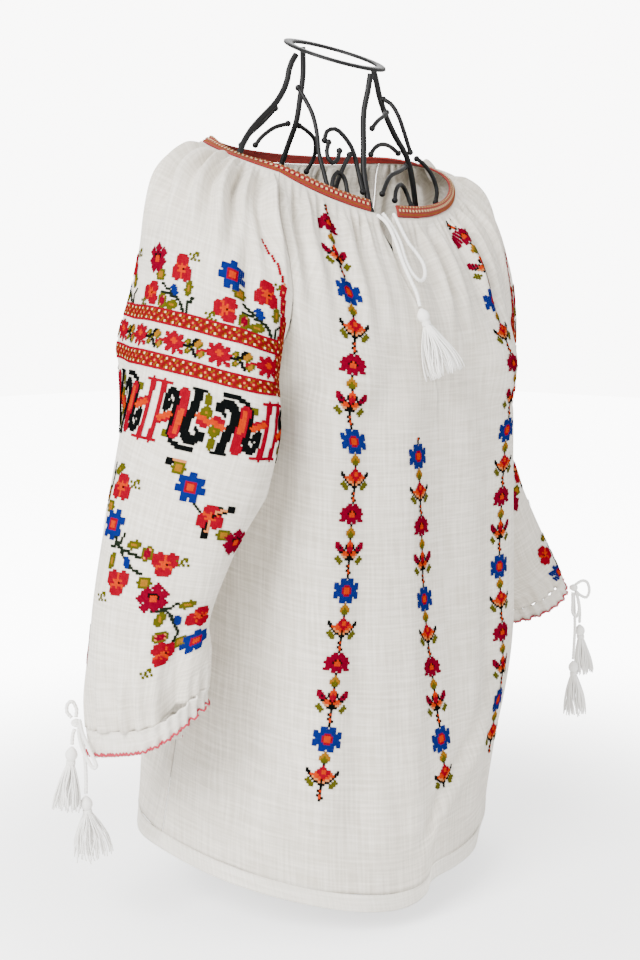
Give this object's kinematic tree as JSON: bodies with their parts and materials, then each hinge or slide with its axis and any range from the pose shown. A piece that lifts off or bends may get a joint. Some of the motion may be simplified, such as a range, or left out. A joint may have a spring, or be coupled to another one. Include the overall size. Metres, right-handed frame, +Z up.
{
  "type": "romanian ie blouse on a wire dress form",
  "caption": "Embroidered gathered peasant blouse with raglan sleeves, tied neck slit and cuff ties, standing on a scrolled wire dress form.",
  "frame": {"origin": "middle of the footprint of blouse and form, cords left out, on the floor", "axes": "+Z up, the wearer's front towards -Y, the wearer's left towards +X"},
  "size_m": [0.6262, 0.3146, 0.7715],
  "materials": {
    "cloth": "matte slub cotton gauze with cross-stitch embroidery",
    "trim": "matte, turned double",
    "woven_band": "matte woven red band with small cream dots",
    "cord": "matte twisted cotton",
    "iron": "satin black paint"
  },
  "bodies": {
    "root": {"arch_back_left": "iron", "arch_back_right": "iron", "arch_front_left": "iron", "arch_front_right": "iron", "arch_left_tall": "iron", "arch_right_tall": "iron", "back_panel": "cloth", "brace_right": "iron", "branch_left": "iron", "cuff_left": "trim", "cuff_left_bow_down": "cord", "cuff_left_bow_up": "cord", "cuff_left_cord_long": "cord", "cuff_left_cord_short": "cord", "cuff_left_knot": "cord", "cuff_left_tassel_long": "cord", "cuff_left_tassel_short": "cord", "cuff_right": "trim", "cuff_right_bow_down": "cord", "cuff_right_bow_up": "cord", "cuff_right_cord_long": "cord", "cuff_right_cord_short": "cord", "cuff_right_knot": "cord", "cuff_right_tassel_long": "cord", "cuff_right_tassel_short": "cord", "diagonal_left": "iron", "diagonal_right": "iron", "foot_ring": "iron", "front_panel": "cloth", "hem_band": "trim", "neck_band": "woven_band", "neck_ring": "iron", "ring_chest": "iron", "ring_hip": "iron", "ring_waist": "iron", "scroll_far_left": "iron", "scroll_left": "iron", "scroll_right_lower": "iron", "scroll_right_upper": "iron", "sleeve_left": "cloth", "sleeve_right": "cloth", "stay_back": "iron", "stay_front": "iron", "stay_left": "iron", "stay_right": "iron", "tie_cord": "cord", "tie_loop": "cord", "tie_tassel": "cord"}
  },
  "joints": []
}
